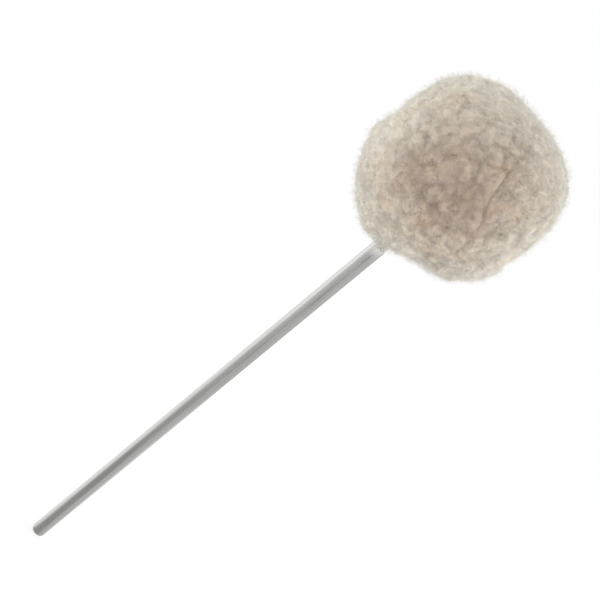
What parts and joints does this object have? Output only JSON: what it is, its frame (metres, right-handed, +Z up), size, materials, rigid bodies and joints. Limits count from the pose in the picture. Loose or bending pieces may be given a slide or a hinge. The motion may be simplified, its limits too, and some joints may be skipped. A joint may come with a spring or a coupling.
{
  "type": "bass drum beater",
  "caption": "Pedal beater: plain steel shaft with a turned wooden core, felt padding and a sewn lambswool cover shaped as a stubby rounded drum.",
  "frame": {"origin": "on the shaft's axis, 25 mm above its foot, where the pedal's hub grips it", "axes": "+Z up along the shaft to the head; -Y is the side that the picture shows; +X to the right of it"},
  "size_m": [0.0731, 0.0736, 0.2728],
  "materials": {
    "shaft_steel": "drawn steel rod, satin",
    "fastener_zinc": "zinc plated",
    "core_wood": "turned hardwood, unfinished",
    "padding_felt": "pressed wool felt",
    "lambswool": "undyed lambswool on the hide, cream with light brown stains",
    "seam_thread": "waxed cotton thread"
  },
  "bodies": {
    "root": {"shaft": "shaft_steel", "lower_nut": "fastener_zinc", "lower_washer": "fastener_zinc", "upper_washer": "fastener_zinc", "lock_washer": "fastener_zinc", "upper_nut": "fastener_zinc", "wood_core": "core_wood", "felt_wrap": "padding_felt", "felt_lower_disc": "padding_felt", "felt_upper_disc": "padding_felt", "fleece_band": "lambswool", "fleece_crown": "lambswool", "fleece_base": "lambswool", "crown_seam_thread": "seam_thread", "base_seam_thread": "seam_thread", "side_seam_thread": "seam_thread"}
  },
  "joints": []
}
